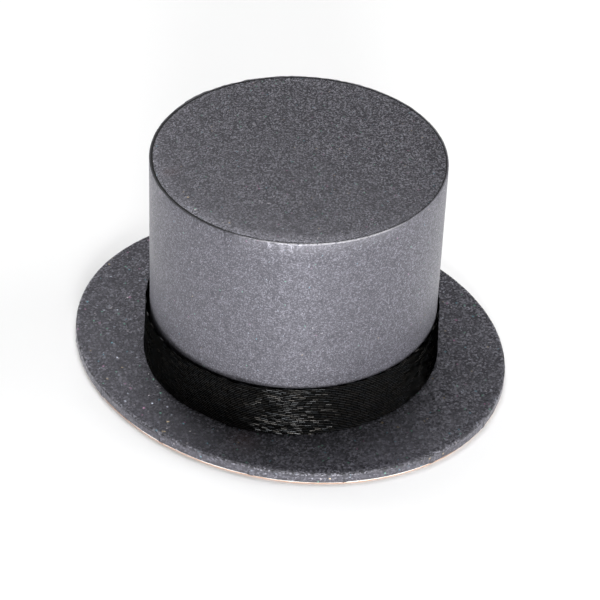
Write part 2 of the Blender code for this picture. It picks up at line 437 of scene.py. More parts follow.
def build_satin_weave():
    """Long floats of thread side by side along the ribbon, each catching the light for its own length."""
    group, desk, given, out = new_group(
        "satin_weave",
        [("Vector", VECTOR, None), ("Thread Pitch", FLOAT, 0.00025), ("Float Length", FLOAT, 0.0011),
         ("Slant", FLOAT, 0.10), ("Lean", FLOAT, 0.2)],
        [("Height", FLOAT), ("Lit", FLOAT), ("Tint", FLOAT), ("Normal", VECTOR)],
    )
    parts = desk.node("ShaderNodeSeparateXYZ", Vector=given["Vector"])
    slanted = desk.maths("MULTIPLY_ADD", parts.outputs["X"], given["Slant"], parts.outputs["Y"])
    rows = desk.maths("DIVIDE", slanted, given["Thread Pitch"])
    row = desk.maths("FLOOR", rows)
    start = desk.node("ShaderNodeTexWhiteNoise", {"noise_dimensions": "1D"}, W=row)
    floats = desk.maths(
        "ADD", desk.maths("DIVIDE", parts.outputs["X"], given["Float Length"]),
        desk.maths("MULTIPLY", start.outputs["Value"], 7.0),
    )
    here = desk.node("ShaderNodeCombineXYZ", X=desk.maths("FLOOR", floats), Y=row)
    own = desk.node("ShaderNodeTexWhiteNoise", {"noise_dimensions": "2D"}, Vector=here.outputs["Vector"])
    across = desk.maths("ABSOLUTE", desk.maths("SUBTRACT", desk.maths("FRACT", rows), 0.5))
    along = desk.maths("ABSOLUTE", desk.maths("SUBTRACT", desk.maths("FRACT", floats), 0.5))
    thread = desk.between(across, 0.30, 0.5, 1.0, 0.0, True)
    tuck = desk.between(along, 0.38, 0.5, 1.0, 0.0, True)
    body = desk.maths("MULTIPLY", thread, tuck)
    desk.feed(out["Height"], body)
    gleam = desk.maths("MULTIPLY", desk.between(across, 0.06, 0.30, 1.0, 0.0, True), tuck)
    uneven = desk.between(own.outputs["Value"], 0.0, 1.0, 0.45, 1.0)
    desk.feed(out["Lit"], desk.maths("MULTIPLY", gleam, uneven))
    tint = desk.node("ShaderNodeSeparateColor", Color=own.outputs["Color"])
    desk.feed(out["Tint"], tint.outputs["Blue"])
    along_ribbon = desk.node("ShaderNodeTangent", {"direction_type": "UV_MAP"})
    chance = desk.maths("MULTIPLY", desk.maths("SUBTRACT", tint.outputs["Green"], 0.5), given["Lean"])
    lean = desk.vector("SCALE", along_ribbon.outputs["Tangent"], scale=chance)
    desk.feed(out["Normal"], desk.leaning(lean))
    return group


def build_board_grain():
    """Grey pulp with darker and lighter specks."""
    group, desk, given, out = new_group(
        "board_grain",
        [("Vector", VECTOR, None), ("Speck Size", FLOAT, 0.0003)],
        [("Specks", FLOAT), ("Height", FLOAT)],
    )
    scaled = desk.steps_of(given["Vector"], given["Speck Size"])
    pulp = desk.node("ShaderNodeTexNoise", Vector=scaled, Scale=1.0, Detail=4.0, Roughness=0.7)
    desk.feed(out["Specks"], desk.between(pulp.outputs["Fac"], 0.35, 0.65))
    desk.feed(out["Height"], pulp.outputs["Fac"])
    return group


MICA_SPARKLE = build_mica_sparkle()
PAPER_GRAIN = build_paper_grain()
WORN_AND_HIGHLIT_EDGE = build_worn_and_highlit_edge()
SATIN_WEAVE = build_satin_weave()
BOARD_GRAIN = build_board_grain()


def new_finish(name, **constants):
    """A material with its Principled shader, whose unchanging values sit on its own sockets."""
    material = bpy.data.materials.new(name)
    material.use_nodes = True
    shader = material.node_tree.nodes["Principled BSDF"]
    for key, value in constants.items():
        shader.inputs[key.replace("_", " ")].default_value = value
    return material, Desk(material.node_tree), shader.inputs


def place_group(desk, group, **values):
    placed = desk.tree.nodes.new("ShaderNodeGroup")
    placed.node_tree = group
    for key, value in values.items():
        desk.feed(placed.inputs[key.replace("_", " ")], value)
    return placed.outputs


def where(desk):
    return desk.node("ShaderNodeTexCoord").outputs["Object"]


def pattern(desk):
    return desk.node("ShaderNodeUVMap").outputs["UV"]


def masked(desk, name):
    return desk.node("ShaderNodeAttribute", {"attribute_name": name}).outputs["Fac"]


def grey(value):
    return (value, value, value, 1.0)


def add_relief(desk, shader, strength, depth, **values):
    """Raises a pattern off the surface by a bump of the given depth."""
    raised = desk.node("ShaderNodeBump", Strength=strength, Distance=depth, **values)
    desk.feed(shader["Normal"], raised.outputs["Normal"])


# -------------------- finishes

PEARL = (0.190, 0.187, 0.215, 1.0)
# The top's paper is painted lighter than the wall's and the brim's: painted light for the light that falls
# on the top
PEARL_PAINTED_LIGHTER_TOP = (0.230, 0.226, 0.256, 1.0)
# Pale paper core, also laid on the crown's shoulder as a painted highlight
PALE_CORE_AND_HIGHLIGHT = (0.72, 0.71, 0.74, 1.0)
# Dark red-brown: painted shade on the brim beside the ribbon, and a small darker, redder patch on the top
REDDISH_DARK = (0.16, 0.085, 0.085, 1.0)
# Near black for painted shade in creases, gaps and along corners
PAINTED_SHADE_BLACK = (0.008, 0.008, 0.008, 1.0)
MICA_METAL = 0.9
IVORY_DARK = (0.70, 0.655, 0.565, 1.0)
IVORY_LIGHT = (0.80, 0.765, 0.69, 1.0)
TAN_DARK = (0.56, 0.33, 0.21, 1.0)
TAN_LIGHT = (0.66, 0.42, 0.29, 1.0)
CARD_UPPER_WHITE = (0.86, 0.85, 0.84, 1.0)
PULP_DARK = (0.20, 0.18, 0.155, 1.0)
PULP_LIGHT = (0.34, 0.31, 0.27, 1.0)
WARM_THREAD = (0.064, 0.060, 0.055, 1.0)
COOL_THREAD = (0.052, 0.056, 0.060, 1.0)


def pearl_paper(name, flake, tilt, contrast, glints, fibre_width, fibre_length, bump, roughness,
                wrapped=False, wear=0.5, wear_patch=0.0008, colour=PEARL, calm_below=None):
    """Dark grey paper with a mica coat, pale where the edge mask is (paper core, and a painted highlight on
    the crown's shoulder), and near black with painted shade where the shade mask is.

    Its flakes differ less from each other below the height calm_below.
    """
    material, desk, shader = new_finish(name)
    place = where(desk)
    sheet_place = pattern(desk) if wrapped else place
    if calm_below is not None:
        height = desk.node("ShaderNodeSeparateXYZ", Vector=place).outputs["Z"]
        contrast = desk.between(height, calm_below - 0.3 * MM, calm_below, 0.35 * contrast, contrast, True)
    mica = place_group(
        desk, MICA_SPARKLE, Vector=place, Flake_Size=flake, Tilt=tilt, Contrast=contrast, Glints=glints,
    )
    grain = place_group(
        desk, PAPER_GRAIN, Vector=sheet_place, Fibre_Width=fibre_width, Fibre_Length=fibre_length,
        Cloud_Size=0.0025,
    )
    # The edge mask: pale paper core, and on the crown's shoulder a painted highlight as well
    worn_and_highlit = place_group(
        desk, WORN_AND_HIGHLIT_EDGE, Edge=masked(desk, "edge"), Vector=place, Patch_Size=wear_patch, Cover=wear,
    )["Worn And Highlit"]
    cloudy = desk.vector("SCALE", colour[:3], scale=desk.between(grain["Cloud"], 0.3, 0.7, 0.90, 1.08))
    shaded = desk.vector("SCALE", cloudy, scale=mica["Shade"])
    fibred = desk.vector("SCALE", shaded, scale=desk.between(grain["Fibres"], 0.4, 0.7, 0.90, 1.10))
    sparkling = desk.mix_colour(desk.maths("MULTIPLY", mica["Glint"], 0.45), fibred, mica["Tint"])
    # Painted shade beside the ribbon on the brim, and a small darker, redder patch on the top
    reddish_patched = desk.mix_colour(masked(desk, "reddish_patch"), sparkling, REDDISH_DARK)
    # Painted shade: this mask darkens creases, gaps and corners to near black and takes their shine away
    painted_shade = masked(desk, "painted_shade")
    surface = desk.mix_colour(worn_and_highlit, reddish_patched, PALE_CORE_AND_HIGHLIGHT)
    desk.feed(shader["Base Color"], desk.mix_colour(painted_shade, surface, PAINTED_SHADE_BLACK))
    worn_highlit_and_shaded = desk.maths("MAXIMUM", worn_and_highlit, painted_shade)
    desk.feed(shader["Metallic"], desk.between(worn_highlit_and_shaded, 0.0, 1.0, MICA_METAL, 0.1))
    rough = desk.between(grain["Fibres"], 0.35, 0.7, roughness + 0.05, roughness - 0.05)
    desk.feed(shader["Roughness"], desk.between(worn_highlit_and_shaded, 0.0, 1.0, rough, 0.85))
    add_relief(desk, shader, bump, 0.06 * MM, Height=grain["Height"], Normal=mica["Normal"])
    return material


def lining_paper(name, wrapped=False):
    """Matt ivory paper, softly felted and a little uneven in colour."""
    material, desk, shader = new_finish(name)
    place = where(desk)
    grain = place_group(
        desk, PAPER_GRAIN, Vector=pattern(desk) if wrapped else place,
        Fibre_Width=0.00015, Fibre_Length=0.0015, Cloud_Size=0.008,
    )
    base = desk.mix_colour(
        desk.between(grain["Cloud"], 0.3, 0.7), IVORY_DARK, IVORY_LIGHT,
    )
    fibred = desk.vector("SCALE", base, scale=desk.between(grain["Fibres"], 0.35, 0.75, 0.93, 1.05))
    desk.feed(shader["Base Color"], fibred)
    desk.feed(shader["Roughness"], desk.between(grain["Fibres"], 0.35, 0.75, 0.82, 0.68))
    add_relief(desk, shader, 0.35, 0.06 * MM, Height=grain["Height"])
    return material


def two_ply_card(name):
    """Card, white above a wandering height and tan below, its cut edge a little furred."""
    material, desk, shader = new_finish(name)
    place = where(desk)
    grain = place_group(
        desk, PAPER_GRAIN, Vector=place, Fibre_Width=0.0002, Fibre_Length=0.002, Cloud_Size=0.01,
    )
    tan = desk.mix_colour(
        desk.between(grain["Cloud"], 0.3, 0.7), TAN_DARK, TAN_LIGHT,
    )
    flecked = desk.vector("SCALE", tan, scale=desk.between(grain["Fibres"], 0.35, 0.75, 0.82, 1.12))
    height = desk.node("ShaderNodeSeparateXYZ", Vector=place).outputs["Z"]
    wandering = desk.maths("MULTIPLY_ADD", grain["Cloud"], 0.00008, height)
    split = CARD_HIGH.z * 0.55
    # White above a wandering height on the card, tan below
    white = desk.between(wandering, split, split + 0.00004)
    desk.feed(shader["Base Color"], desk.mix_colour(white, flecked, CARD_UPPER_WHITE))
    desk.feed(shader["Roughness"], desk.between(grain["Fibres"], 0.35, 0.75, 0.95, 0.8))
    add_relief(desk, shader, 0.4, 0.08 * MM, Height=grain["Height"])
    return material


def grey_board(name):
    """Bare pulp board, for the parts that the papers cover."""
    material, desk, shader = new_finish(name)
    pulp = place_group(desk, BOARD_GRAIN, Vector=where(desk), Speck_Size=0.00035)
    desk.feed(
        shader["Base Color"],
        desk.mix_colour(pulp["Specks"], PULP_DARK, PULP_LIGHT),
    )
    desk.feed(shader["Roughness"], desk.between(pulp["Specks"], 0.0, 1.0, 0.95, 0.85))
    add_relief(desk, shader, 0.5, 0.1 * MM, Height=pulp["Height"])
    return material


def black_satin(name):
    """Black ribbon: a dull ground under long bright floats that shine across the ribbon's width."""
    material, desk, shader = new_finish(
        name, Metallic=1.0, Anisotropic=1.0, Anisotropic_Rotation=0.25, Specular_Tint=grey(0.0),
    )
    weave = place_group(
        desk, SATIN_WEAVE, Vector=pattern(desk), Thread_Pitch=0.44 * MM, Float_Length=1.4 * MM, Lean=0.38,
    )
    thread = desk.mix_colour(weave["Tint"], WARM_THREAD, COOL_THREAD)
    desk.feed(shader["Base Color"], desk.mix_colour(weave["Lit"], grey(0.001), thread))
    desk.feed(shader["Roughness"], desk.between(weave["Lit"], 0.0, 0.8, 0.40, 0.30))
    add_relief(desk, shader, 0.15, 0.04 * MM, Height=weave["Height"], Normal=weave["Normal"])
    threads = desk.node("ShaderNodeTangent", {"direction_type": "UV_MAP"})
    desk.feed(shader["Tangent"], threads.outputs["Tangent"])
    return material


# -------------------- the brim

# Where the cover's edge is tucked, in degrees round the brim, and how far the paper hangs after each tuck
HEM_RUNS = (
    (12, 0.35), (37, 0.90), (58, 0.25), (84, 0.75), (109, 0.40), (131, 0.85), (155, 0.30), (178, 0.45),
    (203, 1.00), (227, 0.25), (252, 0.70), (274, 0.30), (301, 0.90), (322, 0.40), (346, 0.80),
)


# The soft fold in the brim's edge, in degrees round it, and its depth under the brim's top
CREASE_ANGLE = 174.0
CREASE_SPREAD = 9.0
CREASE_DEPTH = 0.62 * MM


def hem_at(angle):
    """How far the wrapped paper hangs here: level along each run, with a short step at each tuck."""
    before = HEM_RUNS[-1][1]
    for place, hang in HEM_RUNS:
        if angle < place:
            return before
        if angle < place + 0.5:
            return before + (hang - before) * ease((angle - place) / 0.5)
        before = hang
    return before


def tuck_at(angle):
    """The small folded lump that stands out at each tuck."""
    nearest = min(abs(apart(angle, place + 0.5)) for place, _ in HEM_RUNS)
    return ease(1.0 - nearest / 1.3)


def edge_sharpness(angle):
    """The upper corner is pressed hard along some runs and left soft along others."""
    stops = (
        (0, 0.3), (40, 0.1), (90, 0.3), (130, 0.0), (202.5, 0.0), (203.5, 0.9), (255, 0.7), (300, 0.1),
        (360, 0.3),
    )
    return along_curve(stops, angle)


def make_brim_cover():
    """One sheet over the board's top, wrapped round its edge and turned in underneath."""
    edge = BRIM_HALF_LENGTH
    soft = 0.45 * MM
    bottom = BRIM_TURN_IN
    turn_in = edge - 7.0 * MM
    profile = [(HUB, BRIM_TOP)]
    profile += straight(profile[-1], (edge - 3.0 * MM, BRIM_TOP), 8)
    profile += straight(profile[-1], (edge - soft - 0.25 * MM, BRIM_TOP), 5)
    profile += rounding(edge - soft, BRIM_TOP - soft, soft, 90, 0, 7)
    profile += straight(profile[-1], (edge, bottom + soft), 7)[:-1]
    profile += rounding(edge - soft, bottom + soft, soft, 0, -90, 5)
    profile += straight(profile[-1], (turn_in, bottom), 6)
    profile += [(turn_in, bottom + PAPER)]
    profile += straight(profile[-1], (edge - soft, bottom + PAPER), 3)
    inner = soft - PAPER
    profile += rounding(edge - soft, bottom + soft, inner, -90, 0, 3)[1:]
    profile += rounding(edge - soft, BRIM_TOP - soft, inner, 0, 90, 3)
    profile += straight(profile[-1], (HUB, BRIM_TOP - PAPER), 4)
    cover = turned("brim_cover", profile, BRIM_SIDES)
    for vertex, point, radius, outwards in points_round(cover):
        if radius < edge - 3.2 * MM and point.z > BRIM_TOP - 0.1 * MM:
            continue
        angle = angle_of(point)
        hem = hem_at(angle)
        tuck = tuck_at(angle)
        near_edge = ease((radius - (edge - 2.5 * MM)) / (1.6 * MM))
        low = ease((BRIM_TOP - 0.5 * MM - point.z) / (1.2 * MM))
        push = near_edge * low * (0.11 * MM * hem + 0.14 * MM * tuck)
        push += 0.045 * MM * near_edge * ripple(point, 4.0 * MM, 3.0)
        push += 0.025 * MM * near_edge * ripple(point, 0.9 * MM, 8.0)
        sharp = edge_sharpness(angle) * near_edge * ease((point.z - (BRIM_TOP - 0.9 * MM)) / (0.5 * MM))
        push += 0.13 * MM * sharp
        crease = band(point.z, BRIM_TOP - CREASE_DEPTH, 0.16 * MM) * band(angle, CREASE_ANGLE, CREASE_SPREAD)
        crease *= near_edge
        push -= 0.12 * MM * crease
        vertex.co = point + outwards * push
        vertex.co.z += 0.04 * MM * sharp
        underneath = radius < edge - 0.3 * MM and point.z < bottom + 0.5 * MM
        if underneath or low > 0.9:
            vertex.co.z -= near_edge * (0.05 * MM * hem + 0.06 * MM * tuck)
    pull_to_oval(cover)

    def oval_place(point):
        """The radius and angle that a point had before the brim was pulled to an oval."""
        round_point = Vector((point.x / BRIM_ROUNDNESS, point.y, 0.0))
        return round_point.length, angle_of(round_point)

    def pale_edge_at(point):
        """Strongest along the upper corner, where it was pressed sharp."""
        radius, angle = oval_place(point)
        corner = ease((radius - (edge - 0.25 * MM)) / (0.2 * MM))
        corner *= band(point.z, BRIM_TOP - 0.25 * MM, 0.35 * MM)
        return 0.04 * corner * edge_sharpness(angle)

    def painted_brim_edge_shade(point):
        """Painted shade: dark in the fold under the soft corner, at the ends of the tucks and a little along
        the corner.
        """
        radius, angle = oval_place(point)
        if radius < edge - 0.6 * MM:
            return 0.0
        fold = band(point.z, BRIM_TOP - CREASE_DEPTH, 0.22 * MM) * band(angle, CREASE_ANGLE, CREASE_SPREAD)
        tucks = max(band(apart(angle, place + 0.2), 0.0, 0.35) for place, _ in HEM_RUNS)
        corner = band(point.z, BRIM_TOP - 0.15 * MM, 0.40 * MM)
        return max(fold, 0.5 * corner, 0.8 * tucks * ease((BRIM_TOP - 0.5 * MM - point.z) / (0.5 * MM)))

    mark(cover, "edge", pale_edge_at)
    # Painted shade in the brim edge's fold, at its tucks and along its upper corner
    mark(cover, "painted_shade", painted_brim_edge_shade)
    # Painted shade on the brim beside the ribbon's lower edge, at the front left
    ribbon_shade_place = Vector((-0.0330, -0.0130, BRIM_TOP))
    mark(cover, "reddish_patch", lambda point: 0.30 * ease(1.0 - (point - ribbon_shade_place).length / (5.0 * MM)))
    smooth(cover, 50)
    finish = pearl_paper(
        "pearl_paper_brim", flake=0.36 * MM, tilt=0.28, contrast=2.3, glints=0.020,
        fibre_width=0.16 * MM, fibre_length=0.9 * MM, bump=0.4, roughness=0.36,
        calm_below=BRIM_TOP - 0.2 * MM,
    )
    return finish_piece(cover, "base", "pearl_paper", finish, "brim_cover_paper")


def make_underside_card():
    """The card glued under the brim, set in a little from the edge and cut by hand."""
    edge = BRIM_HALF_LENGTH - 0.4 * MM
    top = CARD_HIGH.z
    profile = [(HUB, top), (edge - 8.0 * MM, top), (edge - 0.04 * MM, top)]
    profile += [(edge, top - 0.04 * MM), (edge, top * 0.66), (edge, top * 0.33), (edge, 0.05 * MM)]
    profile += [(edge - 0.05 * MM, 0.0), (edge - 8.0 * MM, 0.0), (HUB, 0.0)]
    card = turned("underside_card", profile, BRIM_SIDES)
    for vertex, point, radius, outwards in points_round(card):
        if radius < edge - 0.5 * MM:
            continue
        cut = 0.16 * MM * ripple(point, 9.0 * MM, 21.0) + 0.05 * MM * ripple(point, 0.7 * MM, 5.0)
        vertex.co = point + outwards * cut
    pull_to_oval(card)
    smooth(card, 40)
    return finish_piece(card, "base", "tan_card", two_ply_card("tan_card_lining"), "brim_underside_lining")


# -------------------- the neck and the box inside

NECK_SEAM = 96.0
NECK_LAP = 9.0
NECK_PLEATS = 20.0


def make_neck_paper(finish):
    """One strip up the neck, turned over its mouth, pleated down inside and lapped at the back."""
    bottom = NECK_LOW.z
    top = NECK_HIGH.z
    fold = 0.35 * MM
    profile = [(NECK_OUTER, bottom)]
    profile += straight(profile[-1], (NECK_OUTER, top - fold), 6)
    profile += rounding(NECK_OUTER - fold, top - fold, fold, 0, 90, 4)[1:]
    profile += rounding(NECK_INNER + fold, top - fold, fold, 90, 180, 4)
    profile += straight(profile[-1], (NECK_INNER, bottom), 6)
    profile += [(NECK_INNER + PAPER, bottom)]
    inner_fold = fold - PAPER
    profile += rounding(NECK_INNER + fold, top - fold, inner_fold, 180, 90, 3)
    profile += rounding(NECK_OUTER - fold, top - fold, inner_fold, 90, 0, 3)
    profile += [(NECK_OUTER - PAPER, bottom), (NECK_OUTER, bottom)]
    neck = turned("neck_cover", profile, NECK_SIDES)
    for vertex, point, radius, outwards in points_round(neck):
        angle = angle_of(point)
        lapped = lapped_before(angle, NECK_SEAM, NECK_LAP)
        if radius > (NECK_OUTER + NECK_INNER) / 2:
            push = 0.16 * MM * lapped
        else:
            turn = math.radians(angle * NECK_PLEATS + 60.0 * ripple(point, 15.0 * MM, 2.0))
            pleats = max(0.0, math.sin(turn)) ** 6
            push = -0.12 * MM * pleats * ease((top - point.z) / (6.0 * MM)) - 0.1 * MM * lapped
        vertex.co = point + outwards * push
    place_on_crown(neck)
    wrap_pattern(neck, NECK_OUTER)
    smooth(neck, 45)
    return finish_piece(neck, "base", "lining_paper", finish, "neck_paper")


def make_box_floor(finish):
    """A disc of card under ivory paper, slightly domed and uneven."""
    radius = FLOOR_RADIUS
    low, high = FLOOR_LOW.z, FLOOR_HIGH.z
    ease_edge = 0.15 * MM
    profile = [(HUB, high)]
    profile += straight(profile[-1], (radius - ease_edge, high), 14)
    profile += rounding(radius - ease_edge, high - ease_edge, ease_edge, 90, 0, 3)[1:]
    profile += [(radius, low), (HUB, low)]
    box_floor = turned("box_floor", profile, DISC_SIDES)
    for vertex in box_floor.data.vertices:
        point = vertex.co
        if point.z > high - 0.01 * MM:
            away = math.hypot(point.x, point.y) / radius
            inwards = 1.0 - away ** 2
            vertex.co.z += 0.10 * MM * inwards + 0.05 * MM * inwards * ripple(point, 9.0 * MM, 4.0)
    place_on_crown(box_floor)
    smooth(box_floor, 40)
    return finish_piece(box_floor, "base", "lining_paper", finish, "compartment_floor")


# -------------------- the crown

WALL_SEAM = 88.0
WALL_LAP = 14.0
WALL_LAP_SLOPE = 4.0
LINING_SEAM = 262.0
LINING_LAP = 12.0

# By degrees round the crown: how crimped its shoulder is, how pale it is painted (the paper's core, with a
# painted highlight along the front), and how dark its crest is painted (painted shade, darkest on the left)
SHOULDER_CRIMPS = (
    (0, 0.8), (60, 1.0), (125, 0.5), (165, 0.7), (193, 1.0), (214, 1.0), (219, 0.12), (262, 0.1),
    (300, 0.6), (360, 0.8),
)
# Pale along the shoulder: the paper's core, and a painted highlight strongest along the front
SHOULDER_WEAR_AND_PAINTED_HIGHLIGHT = (
    (0, 0.3), (140, 0.0), (188, 0.0), (197, 0.25), (216, 0.45), (222, 0.5), (250, 0.45), (262, 0.1),
    (360, 0.1),
)
# Painted shade along the shoulder's crest: darkest on the left, lighter at the back, lightest along the
# front
CREST_PAINTED_SHADE = (
    (0, 0.6), (40, 0.7), (70, 0.9), (130, 1.0), (186, 1.0), (199, 0.35), (218, 0.2), (248, 0.25),
    (262, 0.6), (360, 0.6),
)


def wall_lap(angle):
    """The wall paper's end lies over its start at the back: a step on one side, a slope on the other."""
    away = apart(angle, WALL_SEAM)
    if away > 0.0 or away < -WALL_LAP:
        return 0.0
    return 1.0 if away > WALL_LAP_SLOPE - WALL_LAP else ease((away + WALL_LAP) / WALL_LAP_SLOPE)


def make_crown_wall():
    """One strip: turned over the shoulder, down the wall, round the foot and up inside."""
    corner = 0.26 * MM
    centre = CROWN_RADIUS - corner
    shoulder = CROWN_TOP - corner
    ledge = CROWN_TOP - 0.27 * MM
    inside = LINING_INNER
    turn_up = CROWN_FOOT + 8.0 * MM
    foot = 0.2 * MM
    profile = [(centre - 1.2 * MM, ledge), (centre - 0.5 * MM, ledge), (centre - 0.16 * MM, ledge)]
    profile += [(centre - 0.10 * MM, ledge + 0.05 * MM), (centre - 0.07 * MM, CROWN_TOP - 0.06 * MM)]
    profile += rounding(centre, shoulder, corner, 90, 0, 7)
    profile += straight(profile[-1], (CROWN_RADIUS, CROWN_FOOT + foot), 16)
    profile += rounding(CROWN_RADIUS - foot, CROWN_FOOT + foot, foot, 0, -90, 3)[1:]
    profile += rounding(inside + foot, CROWN_FOOT + foot, foot, -90, -180, 3)
    profile += straight(profile[-1], (inside, turn_up), 6)
    profile += [(inside + PAPER, turn_up), (inside + PAPER, CROWN_FOOT + PAPER)]
    profile += [(CROWN_RADIUS - PAPER, CROWN_FOOT + PAPER), (CROWN_RADIUS - PAPER, shoulder)]
    profile += [(centre, shoulder), (centre - 0.1 * MM, ledge - 0.02 * MM)]
    profile += [(centre - 1.2 * MM, ledge - 0.02 * MM)]
    profile += [profile[0]]
    wall = turned("crown_wall", profile, WALL_SIDES)
    for vertex, point, radius, outwards in points_round(wall):
        angle = angle_of(point)
        push = 0.0
        if radius > centre - 0.05 * MM and point.z > CROWN_FOOT + 0.3 * MM:
            push = 0.15 * MM * wall_lap(angle)
            push += 0.05 * MM * ripple(point, 11.0 * MM, 1.0)
        if point.z > ledge + 0.04 * MM and radius > centre - 0.12 * MM:
            crimp = 0.08 * ripple(point, 1.1 * MM, 6.0) + 0.05 * ripple(point, 3.0 * MM, 9.0) - 0.02
            crimp = along_curve(SHOULDER_CRIMPS, angle) * crimp * MM
            vertex.co.z = min(point.z + crimp, CROWN_TOP + 0.04 * MM)
            push += 0.5 * crimp
        vertex.co = vertex.co + outwards * push
    wrap_pattern(wall, CROWN_RADIUS)
    place_on_crown(wall)

    def pale_edge_at(point):
        """Pale on the wall's seam, where the paper's core shows, and along the shoulder's fold: the core
        showing there too, and a painted highlight strongest along the front.
        """
        away, angle = round_crown(point)
        rim = ease((point.z - (CROWN_TOP - 0.30 * MM)) / (0.15 * MM))
        rim *= ease((away - (centre - 0.08 * MM)) / (0.1 * MM))
        seam = 0.16 * band(apart(angle, WALL_SEAM), 0.0, 0.4) * ease((away - centre) / (0.1 * MM))
        return max(rim * along_curve(SHOULDER_WEAR_AND_PAINTED_HIGHLIGHT, angle), seam)

    def painted_shoulder_shade(point):
        """Painted shade: dark in the gap behind the shoulder, and along the fold's crest, least along the
        front where the shoulder is painted pale.
        """
        away, angle = round_crown(point)
        crest = ease((point.z - (CROWN_TOP - 0.16 * MM)) / (0.10 * MM))
        crest *= ease((away - (centre - 0.1 * MM)) / (0.05 * MM))
        inside_shoulder = away < centre - 0.04 * MM and point.z > ledge - 0.05 * MM
        painted_gap_shade = ease((CROWN_TOP - 0.04 * MM - point.z) / (0.08 * MM)) if inside_shoulder else 0.0
        return max(0.85 * crest * along_curve(CREST_PAINTED_SHADE, angle), painted_gap_shade)

    # Paper core on the seam and the shoulder, and a painted highlight along the shoulder's front
    mark(wall, "edge", pale_edge_at)
    # Painted shade in the gap behind the shoulder and along its crest
    mark(wall, "painted_shade", painted_shoulder_shade)
    smooth(wall, 50)
    finish = pearl_paper(
        "pearl_paper_wall", flake=0.22 * MM, tilt=0.14, contrast=0.95, glints=0.003,
        fibre_width=0.14 * MM, fibre_length=1.3 * MM, bump=0.3, roughness=0.42, wrapped=True,
        wear=0.62, wear_patch=0.5 * MM,
    )
    return finish_piece(wall, "crown", "pearl_paper", finish, "crown_side_paper")


# How far the top paper rises in the middle
TOP_DOME = 0.30 * MM


def make_crown_top():
    """The disc on top: faintly domed, rolled off towards its edge, with a fine gap beside it."""
    radius = TOP_RADIUS - 0.07 * MM
    high = CROWN_TOP
    roll_off = 3.2 * MM
    drop = 0.17 * MM
    profile = [(HUB, high)]
    profile += straight(profile[-1], (radius - roll_off, high), 10)
    for step in range(1, 9):
        share = step / 8
        profile.append((radius - roll_off * (1.0 - share), high - drop * share ** 2))
    under = high - 0.255 * MM
    profile += [(radius + 0.02 * MM, high - drop - 0.05 * MM), (radius + 0.02 * MM, under)]
    profile += [(radius - 3.0 * MM, under), (HUB, under)]
    disc = turned("crown_top", profile, WALL_SIDES)
    slip = Vector((0.08 * MM, -0.06 * MM, 0.0))
    for vertex, point, away, outwards in points_round(disc):
        if away > radius - 0.4 * MM:
            vertex.co = point + outwards * 0.05 * MM * ripple(point, 2.2 * MM, 12.0)
        if point.z > high - drop - 0.03 * MM:
            inwards = 1.0 - (away / radius) ** 2
            uneven = 0.05 * MM * ripple(point, 16.0 * MM, 30.0) * min(1.0, 4.0 * inwards)
            vertex.co.z += TOP_DOME * inwards + uneven
        vertex.co = vertex.co + slip
    place_on_crown(disc)

    def cut_edge(point):
        """Pale where the disc's cut edge shows the paper's core."""
        from_axis = Vector((point.x - CROWN_CENTRE.x, point.y - CROWN_CENTRE.y, 0.0)) - slip
        outermost = ease((from_axis.length - (radius - 0.09 * MM)) / (0.06 * MM))
        return 0.5 * outermost * ease((high - drop - 0.02 * MM - point.z) / (0.05 * MM))

    # A small darker, redder patch near the top's rim, on the left
    blush = CROWN_CENTRE + Vector((-0.0210, 0.0165, CROWN_TOP))
    mark(disc, "edge", cut_edge)
    mark(disc, "reddish_patch", lambda point: 0.22 * ease(1.0 - (point - blush).length / (2.2 * MM)))
    smooth(disc, 40)
    # The top takes the lighter copy of the pearl colour: painted light
    finish = pearl_paper(
        "pearl_paper_top", flake=0.26 * MM, tilt=0.26, contrast=2.2, glints=0.012, colour=PEARL_PAINTED_LIGHTER_TOP,
        fibre_width=0.15 * MM, fibre_length=0.8 * MM, bump=0.4, roughness=0.36, wear=0.55,
    )
    return finish_piece(disc, "crown", "pearl_paper", finish, "crown_top_paper")


def make_crown_lining(finish):
    """The ivory strip inside the crown, its end lapped over its start."""
    low, high = LINING_LOW.z, LINING_HIGH.z
    profile = [(LINING_OUTER, low)]
    profile += straight(profile[-1], (LINING_OUTER, high), 4)
    profile += [(LINING_INNER, high)]
    profile += straight(profile[-1], (LINING_INNER, low), 10)
    profile += [(LINING_OUTER, low)]
    lining = turned("crown_lining", profile, NECK_SIDES)
    for vertex, point, radius, outwards in points_round(lining):
        if radius > LINING_OUTER - 0.05 * MM:
            continue
        lapped = lapped_before(angle_of(point), LINING_SEAM, LINING_LAP)
        push = -0.14 * MM * lapped - 0.05 * MM * (0.5 + 0.5 * ripple(point, 8.0 * MM, 2.0))
        vertex.co = point + outwards * push
    wrap_pattern(lining, LINING_INNER)
    place_on_crown(lining)
    smooth(lining, 40)
    return finish_piece(lining, "crown", "lining_paper", finish, "crown_side_lining")


def make_ceiling(finish):
    """The ivory disc inside the crown's top, eased down a little at its edge."""
    low, high = CEILING_LOW.z, CEILING_HIGH.z
    radius = CEILING_RADIUS - 0.35 * MM
    profile = [(HUB, high), (radius, high), (radius, low)]
    profile += straight(profile[-1], (HUB, low), 10)
    disc = turned("crown_ceiling", profile, DISC_SIDES)
    for vertex in disc.data.vertices:
        point = vertex.co
        if point.z < low + 0.01 * MM:
            away = math.hypot(point.x, point.y) / radius
            vertex.co.z -= 0.08 * MM * (1.0 - away ** 2) * (1.0 + ripple(point, 10.0 * MM, 6.0))
    place_on_crown(disc)
    smooth(disc, 40)
    return finish_piece(disc, "crown", "lining_paper", finish, "crown_top_lining")


# -------------------- the ribbon

